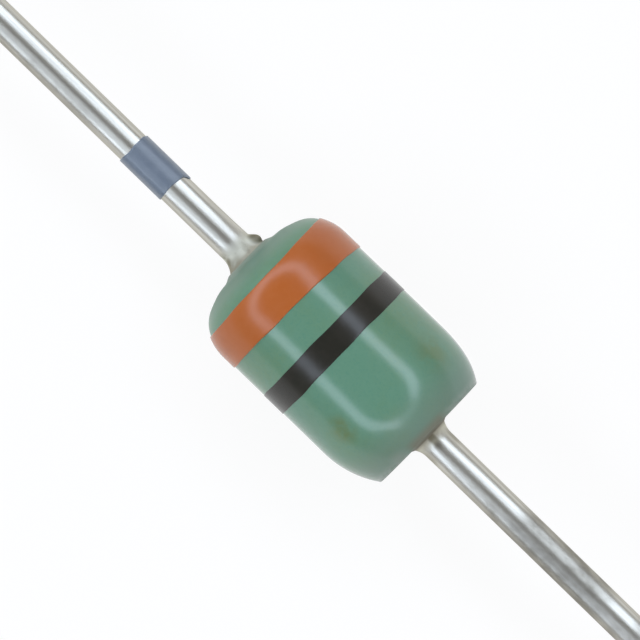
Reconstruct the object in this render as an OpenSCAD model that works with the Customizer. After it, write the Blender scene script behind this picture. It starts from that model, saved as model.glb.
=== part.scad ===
// Axial zener diode: a chip held between two metal plugs in a sealed glass sleeve,
// under a lacquer coat with colour bands, with a straight wire lead at each end.
// Every piece is turned about X. The cathode end points to -X and the anode end to +X.
// The origin is the middle of the coated body. Millimetres.

/* [Glass sleeve] */
// Outer diameter of the sleeve
glass_d = 1.62; // [1.5:0.01:1.68]
// Length of the sleeve
glass_l = 2.4; // [2.2:0.05:3.4]
// Radius of the melted edge at both ends
glass_end_r = 0.25; // [0.22:0.01:0.32]

/* [Plugs and die] */
// Diameter of the plugs, and of the bore that is fused to them
plug_d = 0.74; // [0.66:0.01:0.8]
// Length of plug that stands out of the sleeve
plug_proud = 0.095; // [0.07:0.005:0.14]
// Side of the square die
die_w = 0.36; // [0.28:0.01:0.44]
// Thickness of the die
die_t = 0.14; // [0.1:0.01:0.2]
// Diameter of the contact bump on the die
bump_d = 0.22; // [0.16:0.01:0.26]
// Height of the bump
bump_h = 0.05; // [0.03:0.005:0.08]
// Radius of the bump's rim, against the anode plug
bump_rim_r = 0.02; // [0.01:0.005:0.025]

/* [Coat] */
// Thickness of the coat over the side of the sleeve
coat_side = 0.11; // [0.08:0.01:0.15]
// Thickness of the coat over the end of each plug
coat_cover = 0.055; // [0.04:0.005:0.09]
// Radius of the round shoulder at the cathode end
cathode_shoulder_r = 0.56; // [0.48:0.01:0.58]
// Radius of the long shoulder at the anode end
anode_shoulder_r = 1.13; // [1:0.01:1.3]
// Length of that shoulder, up to the sharp rim of the end face
anode_shoulder_l = 0.65; // [0.55:0.01:0.7]

/* [Bands] */
// Cathode end face to the wide band
cathode_band_from = 0.27; // [0.2:0.01:0.4]
// Width of the wide band
cathode_band_w = 0.45; // [0.3:0.01:0.6]
// Height of the wide band over the coat
cathode_band_h = 0.018; // [0.01:0.002:0.03]
// Cathode end face to the narrow band
code_band_from = 1.14; // [1.05:0.01:1.3]
// Width of the narrow band
code_band_w = 0.29; // [0.2:0.01:0.4]
// Height of the narrow band over the coat
code_band_h = 0.012; // [0.008:0.002:0.03]

/* [Leads] */
// Diameter of the wire
lead_d = 0.37; // [0.3:0.01:0.45]
// Length of each lead beyond the coat
lead_l = 13; // [5:0.5:29]
// Diameter of the weld foot on the plug
weld_d = 0.62; // [0.5:0.01:0.66]
// Radius of the hollow curve from the weld foot to the wire
weld_r = 0.25; // [0.18:0.01:0.4]
// Cathode end face to the mark on the lead
mark_from = 1.09; // [0.5:0.01:3]
// Width of the mark
mark_w = 0.59; // [0.3:0.01:1]
// Height of the mark over the wire
mark_h = 0.015; // [0.01:0.001:0.03]

/* [Hidden] */
$fn = 96;
glass_r = glass_d / 2;
plug_r = plug_d / 2;
lead_r = lead_d / 2;
bump_r = bump_d / 2;
stack_half = (die_t + bump_h) / 2;
plug_face = glass_l / 2 + plug_proud;
plug_l = plug_face - stack_half;
body_r = glass_r + coat_side;
body_half = plug_face + coat_cover;
cathode_shoulder_x = cathode_shoulder_r - body_half;
anode_shoulder_x = body_half - anode_shoulder_l;
weld_foot_r = weld_d / 2;
weld_rise = weld_foot_r - lead_r;
weld_l = sqrt(pow(weld_r, 2) - pow(weld_r - weld_rise, 2));
wire_l = coat_cover + lead_l;

// Turns an outline about X. The outline's x is the radius and its y the place along X.
module turned() {
    rotate([0, 90, 0])
        rotate_extrude()
            children();
}

// Mirrors an outline of the anode end to the cathode end.
module at_cathode() {
    mirror([0, 1])
        children();
}

// Outside of the sleeve, with both edges melted round.
module sleeve_outline() {
    translate([0, glass_end_r - glass_l / 2])
        square([glass_r, glass_l - 2 * glass_end_r]);
    translate([0, -glass_l / 2])
        square([glass_r - glass_end_r, glass_l]);
    for (side = [-1, 1])
        translate([glass_r - glass_end_r, side * (glass_l / 2 - glass_end_r)])
            circle(r = glass_end_r);
}

// Bore of the sleeve, from the outer face of one plug to that of the other.
module bore_outline() {
    translate([0, -plug_face])
        square([plug_r, 2 * plug_face]);
}

// Outside of the coat, or of a layer that lies on it.
module coat_outline(layer = 0) {
    intersection() {
        translate([0, -body_half - layer])
            square([body_r + layer, 2 * (body_half + layer)]);
        union() {
            translate([0, -body_half - layer])
                square([body_r - cathode_shoulder_r, cathode_shoulder_r + layer]);
            translate([body_r - cathode_shoulder_r, cathode_shoulder_x])
                circle(r = cathode_shoulder_r + layer);
            translate([0, cathode_shoulder_x])
                square([body_r + layer, anode_shoulder_x - cathode_shoulder_x]);
            translate([body_r - anode_shoulder_r, anode_shoulder_x])
                circle(r = anode_shoulder_r + layer);
        }
    }
}

// Wire of the anode lead, with the foot that is welded to the face of the plug.
module lead_outline() {
    translate([0, plug_face]) {
        square([lead_r, wire_l]);
        difference() {
            square([weld_foot_r, weld_l]);
            translate([lead_r + weld_r, weld_l])
                circle(r = weld_r);
        }
    }
}

// Ring of paint on the coat.
module band_outline(from, width, height) {
    difference() {
        intersection() {
            coat_outline(height);
            translate([0, from - body_half])
                square([body_r + height, width]);
        }
        coat_outline();
    }
}

module cathode_lead() {
    color("lightgray")
        turned()
            at_cathode()
                lead_outline();
}

module anode_lead() {
    color("lightgray")
        turned()
            lead_outline();
}

module lead_mark() {
    color("slategray")
        turned()
            translate([lead_r, -body_half - mark_from - mark_w])
                square([mark_h, mark_w]);
}

module cathode_plug() {
    color("peru")
        turned()
            translate([0, -plug_face])
                square([plug_r, plug_l]);
}

module anode_plug() {
    color("peru")
        turned()
            translate([0, stack_half])
                square([plug_r, plug_l]);
}

module zener_die() {
    color("dimgray")
        translate([-stack_half, -die_w / 2, -die_w / 2])
            cube([die_t, die_w, die_w]);
}

module die_bump() {
    color("silver")
        turned()
            translate([0, stack_half - bump_h]) {
                square([bump_r - bump_rim_r, bump_h]);
                square([bump_r, bump_h - bump_rim_r]);
                translate([bump_r - bump_rim_r, bump_h - bump_rim_r])
                    intersection() {
                        circle(r = bump_rim_r);
                        square(bump_rim_r);
                    }
            }
}

module glass_sleeve() {
    color("lightcyan", 0.5)
        turned()
            difference() {
                sleeve_outline();
                bore_outline();
            }
}

module body_coat() {
    color("cadetblue")
        turned()
            difference() {
                coat_outline();
                sleeve_outline();
                bore_outline();
                lead_outline();
                at_cathode()
                    lead_outline();
            }
}

module cathode_band() {
    color("chocolate")
        turned()
            band_outline(cathode_band_from, cathode_band_w, cathode_band_h);
}

module code_band() {
    color("black")
        turned()
            band_outline(code_band_from, code_band_w, code_band_h);
}

cathode_lead();
anode_lead();
lead_mark();
cathode_plug();
anode_plug();
zener_die();
die_bump();
glass_sleeve();
body_coat();
cathode_band();
code_band();
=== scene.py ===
"""Looks of a small axial zener diode: lacquered glass body, printed bands, tinned leads."""
import math

import bmesh
import bpy
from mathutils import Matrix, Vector


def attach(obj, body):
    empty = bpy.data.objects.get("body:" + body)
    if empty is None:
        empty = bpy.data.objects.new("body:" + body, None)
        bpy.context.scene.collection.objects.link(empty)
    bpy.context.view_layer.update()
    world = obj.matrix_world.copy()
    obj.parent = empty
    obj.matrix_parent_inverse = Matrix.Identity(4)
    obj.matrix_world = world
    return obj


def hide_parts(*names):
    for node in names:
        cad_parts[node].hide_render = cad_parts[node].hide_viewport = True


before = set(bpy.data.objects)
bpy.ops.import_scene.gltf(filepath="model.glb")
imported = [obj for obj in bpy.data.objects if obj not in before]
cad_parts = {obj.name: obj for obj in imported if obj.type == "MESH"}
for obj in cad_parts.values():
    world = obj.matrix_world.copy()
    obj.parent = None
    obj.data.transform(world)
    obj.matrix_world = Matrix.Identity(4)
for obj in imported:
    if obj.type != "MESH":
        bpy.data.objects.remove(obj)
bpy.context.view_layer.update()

# Sizes of the solids, in millimetres. X runs along the diode, and the body's middle is at 0.
MM = 0.001
BODY_R = 0.92
BODY_HALF = 1.35
CATHODE_SHOULDER_R = 0.56
ANODE_SHOULDER_R = 1.13
ANODE_SHOULDER_L = 0.65
GLASS_R = 0.81
GLASS_HALF = 1.2
GLASS_EDGE_R = 0.25
PLUG_R = 0.37
PLUG_FACE = 1.295
LEAD_R = 0.185
LEAD_L = 13.0
LEAD_TIP = BODY_HALF + LEAD_L
WELD_FOOT_R = 0.31
WELD_R = 0.25
WELD_L = math.sqrt(WELD_R ** 2 - (WELD_R - WELD_FOOT_R + LEAD_R) ** 2)
CATHODE_BAND_H = 0.018
LEAD_MARK = (-3.03, -2.44)
LEAD_MARK_H = 0.015

# Ends of the barrel between the shoulders, and how far out the shoulders' centres lie.
BARREL_LEFT = CATHODE_SHOULDER_R - BODY_HALF
BARREL_RIGHT = BODY_HALF - ANODE_SHOULDER_L
CATHODE_CENTRE_R = BODY_R - CATHODE_SHOULDER_R
ANODE_CENTRE_R = BODY_R - ANODE_SHOULDER_R

# Edges of the lacquer on the feet of the two leads, and the width of its bead round them.
CATHODE_HEM = -1.340
ANODE_HEM = 1.380
HEM_W = 0.03
# Rise of the anode end's face towards the lead, and the rounding of its rim.
ANODE_DOME = 0.004
RIM_ROUND = 0.014

# The printed paint is thinner than the solids' rings and lies a little nearer to the anode.
ORANGE = (-1.059, -0.604)
ORANGE_H = 0.013
BLACK = (-0.196, 0.093)
BLACK_H = 0.006
# How deep the paint and the ink start under the surface that they lie on.
PAINT_SUNK = 0.004
INK_SUNK = 0.003
# Waves of each ring's left and right edge: count round the axis, height and phase.
ORANGE_WAVES = (
    ((1, 0.026, -1.57), (2, 0.005, 0.5), (5, 0.003, 1.1), (11, 0.002, 0.2)),
    ((1, 0.027, 1.57), (2, 0.017, 1.57), (3, 0.005, 2.5), (7, 0.003, 0.6), (13, 0.002, 1.7)),
)
BLACK_WAVES = (
    ((2, 0.004, 1.5), (6, 0.003, 0.1), (12, 0.002, 2.2)),
    ((3, 0.004, 0.5), (8, 0.003, 1.6), (14, 0.002, 0.7)),
)
INK_WAVES = (
    ((1, 0.008, 2.4), (3, 0.006, 1.9), (7, 0.003, 0.3)),
    ((2, 0.006, 1.0), (5, 0.003, 2.2)),
)
# How far from an edge its waves reach, for the ink at its left and its right edge.
PAINT_REACH = 0.1
INK_REACH = (0.2, 0.25)
# How far the ink has run out on one side of the wire, and the rounding of its edges.
INK_RUN = 0.070
INK_ROUND = 0.011

# Chamfer of a lead's cut tip, and the lumps on the cathode lead's foot: centre, reach, height.
TIP_CUT = 0.012
LUMPS = (
    ((-1.425, 0.19, 0.07), 0.12, 0.074),
    ((-1.425, -0.15, 0.13), 0.09, 0.020),
    ((-1.440, 0.05, -0.20), 0.11, 0.030),
)

# Steps round the axis and across a rounded edge.
BODY_STEPS = 160
WIRE_STEPS = 144
INK_STEPS = 96
ROUND_STEPS = 4
# Vertices closer than MERGE become one, and a vertex that is NEAR a place counts as being there.
MERGE = 0.00005
NEAR = 1e-3


def weld_radius(out):
    """Radius of the weld foot at a distance out from the plug's face."""
    if out >= WELD_L:
        return LEAD_R
    return LEAD_R + WELD_R - math.sqrt(WELD_R ** 2 - (WELD_L - out) ** 2)


def weld_angle(out):
    """Degrees of the weld foot's curve from its thin end to a distance out from the plug's face."""
    return math.degrees(math.asin((WELD_L - out) / WELD_R))


def coat_radius(x):
    """Radius of the coat at a place along the body."""
    if x < BARREL_LEFT:
        return CATHODE_CENTRE_R + math.sqrt(CATHODE_SHOULDER_R ** 2 - (x - BARREL_LEFT) ** 2)
    if x > BARREL_RIGHT:
        return ANODE_CENTRE_R + math.sqrt(ANODE_SHOULDER_R ** 2 - (x - BARREL_RIGHT) ** 2)
    return BODY_R


class Outline:
    """A profile that is drawn vertex by vertex and then turned about the diode's axis.

    x runs along the diode, and r out from its axis.
    """

    def __init__(self, x, r):
        self.bm = bmesh.new()
        self.first = self.last = self.bm.verts.new((x * MM, 0, r * MM))

    def line(self, x, r, steps=1):
        """Draws a straight line on to (x, r)."""
        start, end = self.last.co.copy(), Vector((x * MM, 0, r * MM))
        for i in range(1, steps + 1):
            grown = bmesh.ops.extrude_vert_indiv(self.bm, verts=[self.last])
            self.last = grown["verts"][0]
            self.last.co = start.lerp(end, i / steps)
        return self

    def arc(self, x, r, degrees, steps):
        """Swings the last vertex about (x, r). Positive degrees go from outwards to +X."""
        swung = bmesh.ops.spin(
            self.bm, geom=[self.last], cent=(x * MM, 0, r * MM), axis=(0, 1, 0),
            angle=math.radians(degrees), steps=steps,
        )
        self.last = [v for v in swung["geom_last"] if isinstance(v, bmesh.types.BMVert)][0]
        return self

    def turned(self, segments, closed=False):
        """The turned mesh. A closed profile is first joined from its last to its first vertex."""
        if closed:
            self.bm.edges.new((self.last, self.first))
        bmesh.ops.spin(
            self.bm, geom=self.bm.verts[:] + self.bm.edges[:], cent=(0, 0, 0), axis=(1, 0, 0),
            angle=math.tau, steps=segments, use_merge=True,
        )
        bmesh.ops.remove_doubles(self.bm, verts=self.bm.verts[:], dist=MERGE * MM)
        bmesh.ops.recalc_face_normals(self.bm, faces=self.bm.faces[:])
        return self.bm


def round_edges(bm, wanted, size):
    """Bevels the edges that run round the axis and whose place, as (x, r), is wanted."""
    rings = []
    for edge in bm.edges:
        a, b = edge.verts[0].co, edge.verts[1].co
        runs_round = abs(a.x - b.x) < 0.1 * NEAR * MM
        if runs_round and wanted(a.x / MM, math.hypot(a.y, a.z) / MM):
            rings.append(edge)
    bmesh.ops.bevel(
        bm, geom=rings, offset=size * MM, affect="EDGES", segments=ROUND_STEPS, profile=0.5,
        material=-1,
    )


def ripple(angle, waves):
    """Sum of waves around the axis, each given as its count, height and phase."""
    return sum(size * math.sin(count * angle + phase) for count, size, phase in waves)


def smooth(value, low, high):
    """0 at low, 1 at high, smooth between them."""
    share = min(1.0, max(0.0, (value - low) / (high - low)))
    return share * share * (3 - 2 * share)


def wave_edge(bm, x, reach, shift, under=lambda x: 1.0):
    """Shifts what lies within reach of a ring edge at x by shift(angle), to wander as paint does.

    The ring stays on what it is painted on, whose radius at a place along the diode is under(x).
    """
    for v in bm.verts:
        was = v.co.x / MM
        near = 1 - abs(was - x) / reach
        if near > 0:
            now = was + near * shift(math.atan2(v.co.z, v.co.y))
            grown = under(now) / under(was)
            v.co = (now * MM, v.co.y * grown, v.co.z * grown)


def dip_flow(bm):
    """Unevenness of the dipped coat: faint waves, and a thicker side at the anode end.

    The coat's inside and its cathode end stay as they are.
    """
    skin = 0.03
    thick_side = 0.034
    for v in bm.verts:
        x, r = v.co.x / MM, math.hypot(v.co.y, v.co.z) / MM
        angle = math.atan2(v.co.z, v.co.y)
        anode_end = smooth(x, 0.75, BODY_HALF)
        if abs(x) < BODY_HALF - NEAR:
            outside = smooth(x, -1.2, -1.0) if r > coat_radius(x) - skin else 0.0
        else:
            outside = anode_end * smooth(r, 0.35, 0.68)
        swell = ripple(angle, (
            (2, 0.0030, 0.7 + 0.9 * x), (3, 0.0022, 2.1 - 1.6 * x), (5, 0.0012, 0.3 + 2.3 * x)))
        swell += thick_side * anode_end * max(0.0, math.cos(angle)) ** 2
        if r > 0:
            grown = 1 + outside * swell / r
            v.co.y *= grown
            v.co.z *= grown


def draw_back(bm):
    """Lets the cathode end's lacquer fall back from the lead's meniscus to the round shoulder."""
    depth = 0.046
    skin = 0.005
    shoulder_from = -1.0
    for v in bm.verts:
        x, r = v.co.x / MM, math.hypot(v.co.y, v.co.z) / MM
        if x < CATHODE_HEM - NEAR or (x < shoulder_from and abs(r - coat_radius(x)) < skin):
            v.co.x += depth * smooth(r, 0.245, 0.38) * (1 - smooth(r, 0.55, 0.86)) * MM


def draw_flats(bm, side):
    """Four very faint flats along a drawn wire, each crowned, that fade in where the weld ends."""
    flat, crown = 0.018, 0.0125
    begin, full = 0.10, 0.35
    for v in bm.verts:
        out = side * v.co.x / MM - BODY_HALF
        turn = math.atan2(v.co.y, v.co.z)
        swell = crown * math.cos(8 * turn) - flat * math.cos(4 * turn)
        grown = 1 + smooth(out, begin, full) * swell
        v.co.y *= grown
        v.co.z *= grown


def lump(bm, centre, reach, height):
    """Raises a rounded lump on a turned piece, at a point given in millimetres."""
    for v in bm.verts:
        gap = (v.co / MM - Vector(centre)).length / reach
        out = Vector((0, v.co.y, v.co.z))
        if gap < 1 and out.length > 0:
            v.co += out.normalized() * (height * (1 - gap * gap) ** 2 * MM)


def piece(bm, name, skin, node, sharp=40):
    """Makes the mesh an object of the diode that stands for a CAD node."""
    mesh = bpy.data.meshes.new(name)
    bm.to_mesh(mesh)
    bm.free()
    mesh.shade_smooth()
    mesh.set_sharp_from_angle(angle=math.radians(sharp))
    mesh.materials.append(skin)
    made = bpy.data.objects.new(name, mesh)
    bpy.context.scene.collection.objects.link(made)
    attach(made, "root")
    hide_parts(node)
    return made


class Socket:
    """An output of a shader node. Sums and products add Math nodes, and add() any other node."""

    def __init__(self, tree, out=None):
        self.tree = tree
        self.out = out

    def add(self, kind, settings=None, inputs=None, output=0):
        """Adds a node: its settings first, then the values or links of its sockets."""
        node = self.tree.nodes.new(kind)
        for name, value in (settings or {}).items():
            if name == "stops":
                ramp = node.color_ramp
                while len(ramp.elements) < len(value):
                    ramp.elements.new(1.0)
                for stop, (place, level) in zip(ramp.elements, value):
                    stop.position = place
                    stop.color = level
            else:
                setattr(node, name, value)
        for key, value in (inputs or {}).items():
            if isinstance(value, Socket):
                self.tree.links.new(value.out, node.inputs[key])
            else:
                node.inputs[key].default_value = value
        return Socket(self.tree, node.outputs[output])

    def sum(self, operation, first, second):
        return self.add("ShaderNodeMath", {"operation": operation}, {0: first, 1: second})

    def __add__(self, other):
        return self.sum("ADD", self, other)

    __radd__ = __add__

    def __sub__(self, other):
        return self.sum("SUBTRACT", self, other)

    def __rsub__(self, other):
        return self.sum("SUBTRACT", other, self)

    def __mul__(self, other):
        return self.sum("MULTIPLY", self, other)

    __rmul__ = __mul__

    def power(self, other):
        return self.sum("POWER", self, other)

    def top(self, other):
        return self.sum("MAXIMUM", self, other)

    def step(self, low, high):
        """0 at low, 1 at high, smooth between them."""
        return self.add(
            "ShaderNodeMapRange", {"interpolation_type": "SMOOTHSTEP"},
            {"Value": self, "From Min": low, "From Max": high},
        )

    def between(self, low, high, soft):
        """1 from low to high, fading over soft on both sides."""
        return self.step(low - soft, low + soft) * (1 - self.step(high - soft, high + soft))

    def blend(self, first, second):
        """Mixes two colours, with this as the share of the second."""
        return self.add(
            "ShaderNodeMix", {"data_type": "RGBA"}, {0: self, 6: first, 7: second}, output=2,
        )

    def noise(self, scale, detail=2.0, stretch=(1, 1, 1), shift=(0, 0, 0)):
        """Noise over a place vector, with features of about 1/scale millimetres."""
        placed = self.add(
            "ShaderNodeMapping", None, {"Vector": self, "Location": shift, "Scale": stretch})
        return placed.add(
            "ShaderNodeTexNoise", None, {"Vector": placed, "Scale": scale, "Detail": detail})

    def measure(self, operation, other):
        """A number from this vector and another one, such as their distance."""
        return self.add(
            "ShaderNodeVectorMath", {"operation": operation}, {0: self, 1: other}, output="Value")

    def near(self, point, inner, outer):
        """1 within inner millimetres of a point, 0 past outer."""
        return 1 - self.measure("DISTANCE", point).step(inner, outer)


def colour(r, g, b):
    """A colour as the nodes take it."""
    return (r, g, b, 1.0)


def finish(name, constants=None):
    """A new material. Returns it, its shader node, and a socket with the place in millimetres."""
    made = bpy.data.materials.new(name)
    made.use_nodes = True
    tree = made.node_tree
    shader = tree.nodes["Principled BSDF"]
    for key, value in (constants or {}).items():
        shader.inputs[key].default_value = value
    start = Socket(tree)
    spot = start.add("ShaderNodeTexCoord", output="Object")
    place = spot.add("ShaderNodeVectorMath", {"operation": "SCALE"}, {0: spot, "Scale": 1 / MM})
    return made, shader, place


def plug_in(shader, **links):
    """Links sockets to the shader's inputs, with _ for the spaces in their names."""
    for key, value in links.items():
        value.tree.links.new(value.out, shader.inputs[key.replace("_", " ")])


def relief(height, depth):
    """A bump of the given depth in millimetres."""
    return height.add(
        "ShaderNodeBump", None, {"Height": height, "Distance": depth * MM, "Strength": 1.0})


def part_of(vector, axis):
    """One coordinate of a vector."""
    return vector.add("ShaderNodeSeparateXYZ", None, {0: vector}, output=axis)


def green_lacquer():
    """Mottled lacquer, stained on the barrel, thin and worn towards the ends, with painted shade,
    sheen and highlight near the ends.
    """
    made, shader, place = finish("green_lacquer", {"IOR": 1.55})
    x, y, z = part_of(place, "X"), part_of(place, "Y"), part_of(place, "Z")
    radius = (y * y + z * z).power(0.5)
    cloud = place.noise(1.3, 3.0, shift=(4.0, 1.0, 2.0))
    grain = place.noise(14.0, 3.0)
    speck = place.noise(34.0, 2.0, shift=(2.0, 8.0, 4.0))
    soil = place.noise(6.0, 3.0, shift=(3.0, 7.0, 1.0))
    orange_peel = place.noise(5.0, 1.0, stretch=(0.6, 1, 1), shift=(9.0, 3.0, 1.0))

    blue_green, leaf_green = colour(0.123, 0.273, 0.179), colour(0.138, 0.266, 0.153)
    pale_green, deep_green = colour(0.142, 0.296, 0.202), colour(0.089, 0.237, 0.174)
    green = cloud.step(0.38, 0.66).blend(blue_green, leaf_green)
    green = (grain.step(0.3, 0.75) * 0.35).blend(green, pale_green)
    green = (speck.step(0.5, 0.72) * 0.3).blend(green, deep_green)

    # Two olive stains on the barrel.
    olive = colour(0.146, 0.192, 0.070)
    near_stain = place.near((0.66, -0.60, 0.70), 0.03, 0.24) * 0.8
    far_stain = place.near((0.78, 0.64, 0.62), 0.03, 0.32) * 0.55
    green = (near_stain.top(far_stain) * soil.step(0.22, 0.55)).blend(green, olive)

    # Thinner, greyer lacquer towards both ends; at the anode end the grey is also painted shade and
    # sheen of the end that turns away.
    thin_anode_and_shade, thin_cathode = colour(0.190, 0.238, 0.205), colour(0.143, 0.200, 0.165)
    green = (x.step(0.80, 1.34) * 0.55).blend(green, thin_anode_and_shade)
    green = ((1 - x.step(-1.28, -1.08)) * 0.4).blend(green, thin_cathode)

    # Anode end: a ragged brown stain round the lead's foot that runs over the rim on top, partly
    # painted shade where the coat meets the lead.
    brown = colour(0.210, 0.176, 0.128)
    at_end = x.step(1.33, 1.35)
    ragged = (soil - 0.5) * 0.5
    run = x.step(1.23, 1.33) * (1 - (y * y + ragged * 0.16).step(0.03, 0.10)) * z.step(0.25, 0.60)
    smear_and_shade = (at_end * (1 - (radius + ragged).step(0.25, 0.62)) * 0.85).top(run * 0.7)
    green = smear_and_shade.blend(green, brown)

    # The same end's rim: worn pale, and pale with painted highlight along it, brightest at one spot
    # that is only painted highlight.
    rubbed_and_highlight = colour(0.320, 0.345, 0.300)
    worn = x.step(1.25, 1.345) * radius.step(0.60, 0.69) * (y * y).step(0.03, 0.12)
    worn = worn * (0.25 + 0.35 * grain.step(0.35, 0.6))
    # Painted highlight: a pale spot on the rim's lower side.
    worn = worn.top(place.near((1.33, -0.36, 0.58), 0.04, 0.20) * 0.5)
    green = worn.blend(green, rubbed_and_highlight)

    # Cathode end: pale lacquer at its hem on the lead's foot, and a wider pale fade round it that
    # is painted sheen.
    pale_hem_and_sheen = colour(0.320, 0.345, 0.280)
    hem = (1 - x.step(-1.34, -1.315)) * 0.6
    edge = (1 - x.step(-1.36, -1.26)) * (1 - radius.step(0.36, 0.58)) * 0.7
    green = (hem * 1.6).top(edge).blend(green, pale_hem_and_sheen)

    # Glossy barrel, matt ends. At the cathode end the change begins under the orange ring.
    matt = (1 - x.step(-1.00, -0.80)) * 0.16 + (1 - x.step(-1.32, -1.14)) * 0.24
    matt = matt.top(hem).top(at_end * 0.4)
    rough = 0.14 + grain * 0.06 + x.step(0.95, 1.34) * 0.07 + matt
    plug_in(shader, Base_Color=green, Roughness=rough, Normal=relief(orange_peel, 0.0016))
    return made


def band_paint(name, body, worn, shift):
    """Glossy paint of two close tones, clouded and grained."""
    made, shader, place = finish(name, {"IOR": 1.45})
    grain = place.noise(16.0, 3.0, shift=shift)
    cloud = place.noise(2.2, 2.0, shift=shift)
    tone = (cloud.step(0.35, 0.7) * 0.6).blend(colour(*body), colour(*worn))
    tone = (grain.step(0.4, 0.8) * 0.3).blend(tone, colour(*worn))
    plug_in(shader, Base_Color=tone, Roughness=0.2 + grain * 0.08, Normal=relief(grain, 0.0006))
    return made


def tin():
    """Tinned wire: streaks along it, dull stretches, and pale and burnt feet at the welds, with
    painted shade on the anode foot and on one flank.
    """
    made, shader, place = finish(
        "tin", {"Metallic": 1.0, "Anisotropic": 0.6, "Specular Tint": colour(0.62, 0.60, 0.54)})
    x, y = part_of(place, "X"), part_of(place, "Y")
    # Squared, so that both leads and both flanks are taken alike.
    along, across = x * x, y * y
    cathode_side, anode_side = 1 - x.step(-1.0, -0.9), x.step(0.9, 1.0)
    flank = 1 - y.step(-0.07, 0.0)

    # Lines run along the wire, and across the faces of its two cut tips.
    tip_face = along.step(205.5, 205.8)
    streak = place.noise(1.0, 4.0, stretch=(0.5, 26, 26)) * (1 - tip_face)
    streak = streak + tip_face * place.noise(1.0, 2.0, stretch=(0.1, 70, 5)) * 0.8

    # Dull stretches: from, to, fade, where round the wire, least share, and share of the streaks.
    patch = place.noise(1.0, 2.0, stretch=(0.45, 2.2, 2.2), shift=(7.0, 2.0, 5.0))
    dull = patch.step(0.54, 0.72) * 0.6
    for start, end, fade, where, least, streaked in (
        (2.72, 3.92, 0.2, 1.0, 0.75, 0.25),
        (-5.2, -3.5, 0.25, flank, 0.25, 0.4),
        (2.25, 4.60, 0.2, flank, 0.5, 0.5),
        (1.85, 2.50, 0.25, flank, 0.2, 0.4),
    ):
        dull = dull.top(x.between(start, end, fade) * where * (least + streaked * streak))
    # One more on the anode lead, which fades out slowly. All are mottled, and none is on a weld.
    dull = dull.top(x.step(4.28, 4.48) * (1 - x.step(4.6, 6.4)) * 0.55)
    mottle = place.noise(1.0, 3.0, stretch=(5.5, 9, 9), shift=(2.0, 4.0, 9.0))
    past_weld = along.step(2.4, 3.2)
    dull = dull * past_weld * (0.62 + 0.62 * mottle.step(0.30, 0.70))

    bright_tin, dull_tin = colour(0.645, 0.635, 0.578), colour(0.335, 0.32, 0.282)
    flank_shade_tin, streak_tin = colour(0.17, 0.163, 0.147), colour(0.43, 0.42, 0.395)
    bare = dull.blend(bright_tin, dull_tin)
    # Painted shade: the -Y flank of the anode lead is darker from 2.6 to 4.0 mm.
    dark = x.between(2.60, 4.00, 0.25) * flank * (0.15 + 0.3 * streak)
    bare = dark.blend(bare, flank_shade_tin)
    bare = (streak.step(0.42, 0.75) * 0.55).blend(bare, streak_tin)

    # Both feet are pale and matt, with soot.
    pale_tin, burnt_tin_and_shade = colour(0.66, 0.655, 0.565), colour(0.135, 0.115, 0.058)
    soot = place.noise(9.0, 3.0, shift=(1.0, 6.0, 2.0))
    cathode_foot = x.step(-1.63, -1.48) * cathode_side
    anode_foot = (1 - x.step(1.38, 1.53)) * anode_side
    feet = cathode_foot.top(anode_foot)
    bare = feet.blend(bare, pale_tin)
    burnt = feet * soot.step(0.45, 0.7) * 0.4
    # The cathode lead's foot has two burnt lumps and a sooty side.
    burnt = burnt.top(place.near((-1.435, 0.260, 0.14), 0.06, 0.14) * 0.74)
    burnt = burnt.top(place.near((-1.435, -0.175, 0.12), 0.02, 0.09) * 0.6)
    sooty = x.step(-1.50, -1.41) * cathode_side * (0.18 + 0.27 * (1 - y.step(-0.11, 0.03)))
    burnt = burnt.top(sooty * (0.7 + 0.6 * soot))
    # The anode lead's foot has a burnt ring that is partly painted shade where it meets the coat, a
    # dark line on its top and underside that is a painted reflection, and flanks darkened as
    # painted shade.
    ring = 1 - x.step(1.35, 1.42)
    # Painted reflection: a dark line along the top and underside of the foot.
    line = (1 - across.step(0.0002, 0.0040)) * (1 - x.step(1.45, 1.62))
    burnt = burnt.top(ring.top(line) * anode_side * 0.75)
    # Painted shade along both flanks of the foot.
    burnt = burnt.top(across.step(0.014, 0.026) * x.between(1.47, 1.64, 0.06) * 0.35)
    bare = burnt.blend(bare, burnt_tin_and_shade)

    rough = 0.295 + streak * 0.03 + dull * 0.12 + feet * 0.28
    plug_in(shader, Base_Color=bare, Roughness=rough, Normal=relief(streak, 0.0008))
    return made


def blue_ink():
    """Grey-blue ink, clouded, with paler grains."""
    made, shader, place = finish("blue_ink", {"IOR": 1.55})
    deep_blue, pale_blue = colour(0.155, 0.190, 0.241), colour(0.184, 0.219, 0.268)
    dusty_blue = colour(0.21, 0.245, 0.297)
    grain = place.noise(18.0, 3.0)
    cloud = place.noise(4.0, 2.0, shift=(2.0, 0.0, 5.0))
    tone = (cloud.step(0.35, 0.7) * 0.5).blend(deep_blue, pale_blue)
    tone = (grain.step(0.45, 0.85) * 0.4).blend(tone, dusty_blue)
    plug_in(shader, Base_Color=tone, Roughness=0.285 + grain * 0.08, Normal=relief(grain, 0.001))
    return made


def inner_metal(name, bright, dark, rough):
    """Grained metal of a piece inside the glass."""
    made, shader, place = finish(name, {"Metallic": 1.0})
    grain = place.noise(20.0, 3.0)
    tone = grain.step(0.3, 0.75).blend(colour(*bright), colour(*dark))
    plug_in(shader, Base_Color=tone, Roughness=rough + grain * 0.15, Normal=relief(grain, 0.001))
    return made


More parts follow.
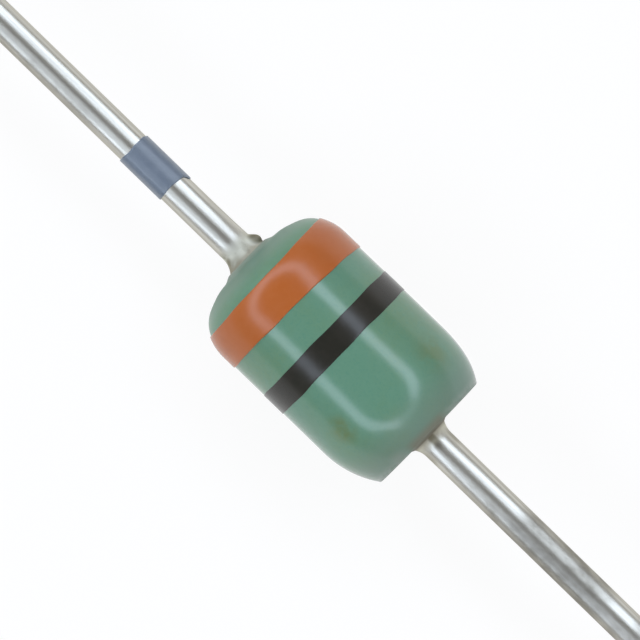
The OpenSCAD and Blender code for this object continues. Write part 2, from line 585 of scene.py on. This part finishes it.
def silicon():
    """Dark, polished silicon of the die."""
    made, shader, place = finish("silicon", {"IOR": 3.4})
    dark_grey, blue_grey = colour(0.035, 0.038, 0.048), colour(0.06, 0.062, 0.075)
    grain = place.noise(24.0, 2.0)
    tone = grain.step(0.3, 0.7).blend(dark_grey, blue_grey)
    plug_in(shader, Base_Color=tone, Roughness=0.15 + grain * 0.1, Normal=relief(grain, 0.0004))
    return made


def sealing_glass():
    """Clear, faintly green glass of the sleeve."""
    made, shader, place = finish("sealing_glass", {"IOR": 1.52, "Transmission Weight": 1.0})
    clear, tinted = colour(0.86, 0.92, 0.89), colour(0.80, 0.89, 0.85)
    seed = place.noise(6.0, 2.0)
    tone = seed.step(0.3, 0.7).blend(clear, tinted)
    plug_in(shader, Base_Color=tone, Roughness=0.02 + seed * 0.03, Normal=relief(seed, 0.0008))
    return made


def coat(lacquer):
    """The lacquer's shell: round at the cathode end, drawn in to a rim at the anode end."""
    at_face = weld_radius(BODY_HALF - PLUG_FACE) + HEM_W
    fall = math.degrees(math.asin(ANODE_SHOULDER_L / ANODE_SHOULDER_R))
    cathode_out, anode_out = -CATHODE_HEM - PLUG_FACE, ANODE_HEM - PLUG_FACE
    weld_x, weld_centre_r = PLUG_FACE + WELD_L, LEAD_R + WELD_R
    glass_corner_x, glass_corner_r = GLASS_HALF - GLASS_EDGE_R, GLASS_R - GLASS_EDGE_R
    # Outside, from the cathode lead to the anode lead.
    shape = Outline(CATHODE_HEM, weld_radius(cathode_out))
    shape.line(-BODY_HALF, at_face, 3).line(-BODY_HALF, CATHODE_CENTRE_R, 5)
    shape.arc(BARREL_LEFT, CATHODE_CENTRE_R, 90, 24)
    shape.line(BARREL_RIGHT, BODY_R, 10)
    shape.arc(BARREL_RIGHT, ANODE_CENTRE_R, fall, 16)
    shape.line(BODY_HALF + ANODE_DOME, at_face, 6).line(ANODE_HEM, weld_radius(anode_out), 3)
    # Inside, back along the weld foot, the plug, the glass, and the other plug and foot.
    shape.arc(weld_x, weld_centre_r, weld_angle(0) - weld_angle(anode_out), 5)
    shape.line(PLUG_FACE, PLUG_R).line(GLASS_HALF, PLUG_R).line(GLASS_HALF, glass_corner_r)
    shape.arc(glass_corner_x, glass_corner_r, -90, 8)
    shape.line(-glass_corner_x, GLASS_R)
    shape.arc(-glass_corner_x, glass_corner_r, -90, 8)
    shape.line(-GLASS_HALF, PLUG_R).line(-PLUG_FACE, PLUG_R).line(-PLUG_FACE, WELD_FOOT_R)
    shape.arc(-weld_x, weld_centre_r, weld_angle(0) - weld_angle(cathode_out), 5)
    bm = shape.turned(BODY_STEPS)
    rim_r = coat_radius(BODY_HALF)
    round_edges(
        bm, lambda x, r: abs(x - BODY_HALF) < NEAR and abs(r - rim_r) < NEAR, RIM_ROUND)
    draw_back(bm)
    dip_flow(bm)
    piece(bm, "lacquer_shell", lacquer, "body_coat", sharp=50)


def band(name, ends, height, paint, node, waves):
    """A ring of paint on the coat, with rounded edges that wander by the waves given for each."""
    left, right = ends
    top, bottom = BODY_R + height, BODY_R - PAINT_SUNK
    if left < BARREL_LEFT:
        tilt = 90 - math.degrees(math.acos((BARREL_LEFT - left) / CATHODE_SHOULDER_R))
        outer = CATHODE_SHOULDER_R + height
        shape = Outline(
            BARREL_LEFT - outer * math.sin(math.radians(tilt)),
            CATHODE_CENTRE_R + outer * math.cos(math.radians(tilt)),
        )
        shape.arc(BARREL_LEFT, CATHODE_CENTRE_R, tilt, 10)
        shape.line(right, top, 5).line(right, bottom).line(BARREL_LEFT, bottom, 2)
        shape.arc(BARREL_LEFT, CATHODE_CENTRE_R, -tilt, 5)
    else:
        shape = Outline(left, top)
        shape.line(right, top, 8).line(right, bottom).line(left, bottom)
    bm = shape.turned(BODY_STEPS, closed=True)
    left_r = coat_radius(left)
    # On the round shoulder the left edge leans out past its place on the coat.
    lean = 0.02
    round_edges(
        bm, lambda x, r: (abs(x - right) < NEAR and r > BODY_R + height / 2)
        or (abs(x - left) < lean and r > left_r + height / 3), height * 0.9,
    )
    for x, edge_waves in zip(ends, waves):
        wave_edge(bm, x, PAINT_REACH, lambda angle: ripple(angle, edge_waves), coat_radius)
    dip_flow(bm)
    piece(bm, name, paint, node)


def lead(name, node, side, metal):
    """A wire from its welded foot on the plug to its cut tip."""
    shape = Outline(side * PLUG_FACE, 0).line(side * PLUG_FACE, WELD_FOOT_R)
    shape.arc(side * (PLUG_FACE + WELD_L), LEAD_R + WELD_R, -side * weld_angle(0), 16)
    shape.line(side * (LEAD_TIP - TIP_CUT), LEAD_R, 26)
    shape.line(side * LEAD_TIP, LEAD_R - TIP_CUT).line(side * LEAD_TIP, 0)
    bm = shape.turned(WIRE_STEPS)
    draw_flats(bm, side)
    if side < 0:
        for centre, reach, height in LUMPS:
            lump(bm, centre, reach, height)
    wire = piece(bm, name, metal, node)
    # The drawn grain runs along the wire: a texture space this narrow in X turns the gloss
    # across it.
    wire.data.use_auto_texspace = False
    wire.data.texspace_location = (0, 0, 0)
    wire.data.texspace_size = (0.001, 1, 1)


def mark(ink):
    """Thin ring of ink on the cathode lead, run out along one side of the wire."""
    left, right = LEAD_MARK
    top, bottom = LEAD_R + LEAD_MARK_H, LEAD_R - INK_SUNK
    shape = Outline(left, top).line(right, top, 14).line(right, bottom).line(left, bottom, 14)
    bm = shape.turned(INK_STEPS, closed=True)
    round_edges(
        bm, lambda x, r: r > top - NEAR and min(abs(x - left), abs(x - right)) < NEAR, INK_ROUND)
    left_waves, right_waves = INK_WAVES
    left_reach, right_reach = INK_REACH
    wave_edge(bm, left, left_reach, lambda angle: ripple(angle, left_waves))
    wave_edge(bm, right, right_reach, lambda angle: ripple(angle, right_waves)
              + INK_RUN * max(0.0, math.cos(angle - 0.1)) ** 8)
    draw_flats(bm, -1)
    piece(bm, "ink_ring", ink, "lead_mark")


def ground():
    """Pale floor under the diode, white to the eye and with the diode's soft shadow on it."""
    half_width = 3000.0
    glow = 0.91
    grey_paper, white_paper = colour(0.66, 0.66, 0.66), colour(0.97, 0.97, 0.97)
    bm = bmesh.new()
    bmesh.ops.create_grid(bm, x_segments=1, y_segments=1, size=half_width * MM)
    bmesh.ops.translate(bm, verts=bm.verts[:], vec=(0, 0, -(BODY_R + CATHODE_BAND_H) * MM))
    mesh = bpy.data.meshes.new("ground")
    bm.to_mesh(mesh)
    bm.free()
    made = bpy.data.materials.new("white_paper")
    made.use_nodes = True
    tree = made.node_tree
    tree.nodes.remove(tree.nodes["Principled BSDF"])
    start = Socket(tree)
    white = start.add("ShaderNodeEmission", None, {"Color": colour(1, 1, 1), "Strength": 1.0})
    seen = start.add("ShaderNodeLightPath", output="Is Camera Ray")
    seen = seen.top(start.add("ShaderNodeLightPath", output="Is Glossy Ray"))
    seen = seen.top(start.add("ShaderNodeLightPath", output="Is Transmission Ray"))
    tone = seen.blend(grey_paper, white_paper)
    paper = start.add("ShaderNodeBsdfDiffuse", None, {"Color": tone})
    mixed = start.add("ShaderNodeMixShader", None, {0: seen * glow, 1: paper, 2: white})
    tree.links.new(mixed.out, tree.nodes["Material Output"].inputs["Surface"])
    mesh.materials.append(made)
    floor = bpy.data.objects.new("ground", mesh)
    bpy.context.scene.collection.objects.link(floor)


def sky():
    """Studio surround: soft dome, bright ring lamp that is open on one side, dark lens overhead."""
    world = bpy.data.worlds.new("studio")
    bpy.context.scene.world = world
    world.use_nodes = True
    tree = world.node_tree
    start = Socket(tree)
    way = start.add("ShaderNodeTexCoord", output="Generated")
    # The background's strength, of which every colour here is a share, and the two tints of light.
    peak = 4.3
    warm, cool = (1.0, 0.95, 0.88), (0.89, 1.0, 1.17)

    def lit(level, tint):
        return colour(*(level * t / peak for t in tint))

    # Level and tint by the cosine of the angle from the lamp's axis.
    lamp_axis = Vector((-0.094, -0.082, 1.0)).normalized()
    height = way.measure("DOT_PRODUCT", lamp_axis)
    levels = (
        (0.0, 0.27, warm), (0.20, 0.28, warm), (0.595, 0.46, warm), (0.645, 3.6, cool),
        (0.67, 3.7, cool), (0.75, 3.7, cool), (0.775, 3.6, cool), (0.82, 0.36, warm),
        (0.90, 0.24, warm), (1.0, 0.20, warm),
    )
    stops = [(place, lit(level, tint)) for place, level, tint in levels]
    light = height.add("ShaderNodeValToRGB", {"stops": stops}, {"Fac": height})

    # The lamp's opening, and its narrower part on the anode's side.
    dim = lit(0.45, warm)
    opening_way = Vector((0.630, 0.095, 0.771))
    opening = way.measure("DOT_PRODUCT", opening_way).step(0.907, 0.988)
    light = (opening * 0.75).blend(light, dim)
    narrow = part_of(way, "X").step(0.25, 0.50) * (1 - height.step(0.655, 0.715))
    light = narrow.blend(light, dim)

    # A glow along the horizon, and a little more light from the +Y side.
    horizon = 1 - part_of(way, "Z").step(-0.02, 0.17)
    light = (horizon * 0.85).blend(light, lit(0.85, warm))
    share = 0.98 + 0.105 * part_of(way, "Y")
    light = light.add("ShaderNodeVectorMath", {"operation": "SCALE"}, {0: light, "Scale": share})
    tree.links.new(light.out, tree.nodes["Background"].inputs["Color"])
    tree.nodes["Background"].inputs["Strength"].default_value = peak


def look():
    """The photograph's view: straight down on the diode, with its axis falling to the right."""
    fall = 44.15
    distance = 100.0
    picture_pixels, body_pixels = 640, 253
    width = picture_pixels * 2 * BODY_HALF / body_pixels
    aim_x, aim_y = -0.3215, 0.0698
    eye = bpy.data.cameras.new("eye")
    eye.sensor_width = 36.0
    eye.lens = eye.sensor_width * distance / width
    eye.clip_start = 0.005
    eye.clip_end = 20.0
    camera = bpy.data.objects.new("eye", eye)
    camera.location = (aim_x * MM, aim_y * MM, distance * MM)
    camera.rotation_euler = (0, 0, math.radians(fall))
    bpy.context.scene.collection.objects.link(camera)
    bpy.context.scene.camera = camera


look()
sky()
ground()
bpy.context.scene.view_settings.view_transform = "Standard"

tinned = tin()
orange = band_paint("orange_paint", (0.469, 0.119, 0.023), (0.500, 0.145, 0.040), (3.0, 0.0, 1.0))
black = band_paint("black_paint", (0.018, 0.018, 0.013), (0.030, 0.025, 0.019), (0.0, 5.0, 2.0))
coat(green_lacquer())
band("orange_ring", ORANGE, ORANGE_H, orange, "cathode_band", ORANGE_WAVES)
band("black_ring", BLACK, BLACK_H, black, "code_band", BLACK_WAVES)
lead("cathode_wire", "cathode_lead", -1, tinned)
lead("anode_wire", "anode_lead", 1, tinned)
mark(blue_ink())

copper = inner_metal("copper_skin", (0.52, 0.22, 0.13), (0.36, 0.14, 0.08), 0.35)
silver = inner_metal("silver", (0.86, 0.85, 0.82), (0.70, 0.69, 0.66), 0.3)
hidden = {
    "cathode_plug": copper, "anode_plug": copper, "die_bump": silver,
    "zener_die": silicon(), "glass_sleeve": sealing_glass(),
}
for node, skin in hidden.items():
    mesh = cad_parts[node].data
    mesh.materials.clear()
    mesh.materials.append(skin)
